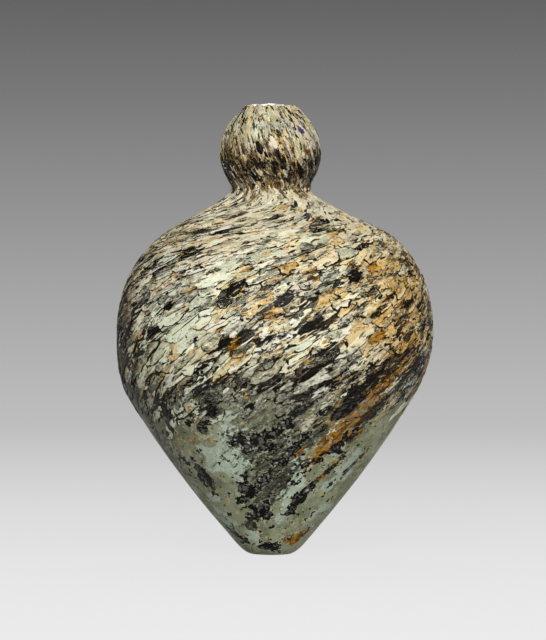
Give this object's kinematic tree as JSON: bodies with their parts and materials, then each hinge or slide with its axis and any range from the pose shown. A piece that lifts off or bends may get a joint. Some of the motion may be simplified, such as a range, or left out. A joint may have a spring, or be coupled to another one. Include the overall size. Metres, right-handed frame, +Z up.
{
  "type": "glass flask",
  "caption": "Blown glass flask of turnip shape with a pointed base, rounded shoulder, pinched neck and swollen bulb mouth, its skin set with long coloured glass chips.",
  "frame": {"origin": "centre of the small flat foot, on the surface that the flask would stand on", "axes": "+Z up along the flask from the foot to the mouth, -Y towards the viewer of the picture, +X to the viewer's right"},
  "size_m": [0.0949, 0.095, 0.135],
  "materials": {
    "wall": "opaque weathered grey-green blown glass with a flaked skin of chips in celadon, beige and brown-black, satin",
    "dark": "brown-black glass, semi-gloss",
    "amber": "rusty amber glass, satin",
    "mint": "opaque pale mint glass, satin",
    "smoke": "cloudy smoke-grey glass, semi-gloss",
    "amethyst": "deep violet glass, glossy"
  },
  "bodies": {
    "root": {"blown_wall": "wall", "dark_chip_01": "dark", "dark_chip_02": "dark", "dark_chip_03": "dark", "dark_chip_04": "dark", "dark_chip_05": "dark", "dark_chip_06": "dark", "dark_chip_07": "dark", "dark_chip_08": "dark", "dark_chip_09": "dark", "dark_chip_10": "dark", "dark_chip_11": "dark", "dark_chip_12": "dark", "dark_chip_13": "dark", "dark_chip_14": "dark", "dark_chip_15": "dark", "dark_chip_16": "dark", "dark_chip_17": "dark", "dark_chip_18": "dark", "dark_chip_19": "dark", "dark_chip_20": "dark", "dark_chip_21": "dark", "dark_chip_22": "dark", "dark_chip_23": "dark", "dark_chip_24": "dark", "dark_chip_25": "dark", "dark_chip_26": "dark", "dark_chip_27": "dark", "dark_chip_28": "dark", "dark_chip_29": "dark", "dark_chip_30": "dark", "dark_chip_31": "dark", "amber_chip_01": "amber", "amber_chip_02": "amber", "amber_chip_03": "amber", "amber_chip_04": "amber", "amber_chip_05": "amber", "amber_chip_06": "amber", "amber_chip_07": "amber", "amber_chip_08": "amber", "mint_chip_01": "mint", "mint_chip_02": "mint", "mint_chip_03": "mint", "mint_chip_04": "mint", "mint_chip_05": "mint", "mint_chip_06": "mint", "mint_chip_07": "mint", "smoke_chip_01": "smoke", "smoke_chip_02": "smoke", "smoke_chip_03": "smoke", "smoke_chip_04": "smoke", "amethyst_chip_01": "amethyst"}
  },
  "joints": []
}
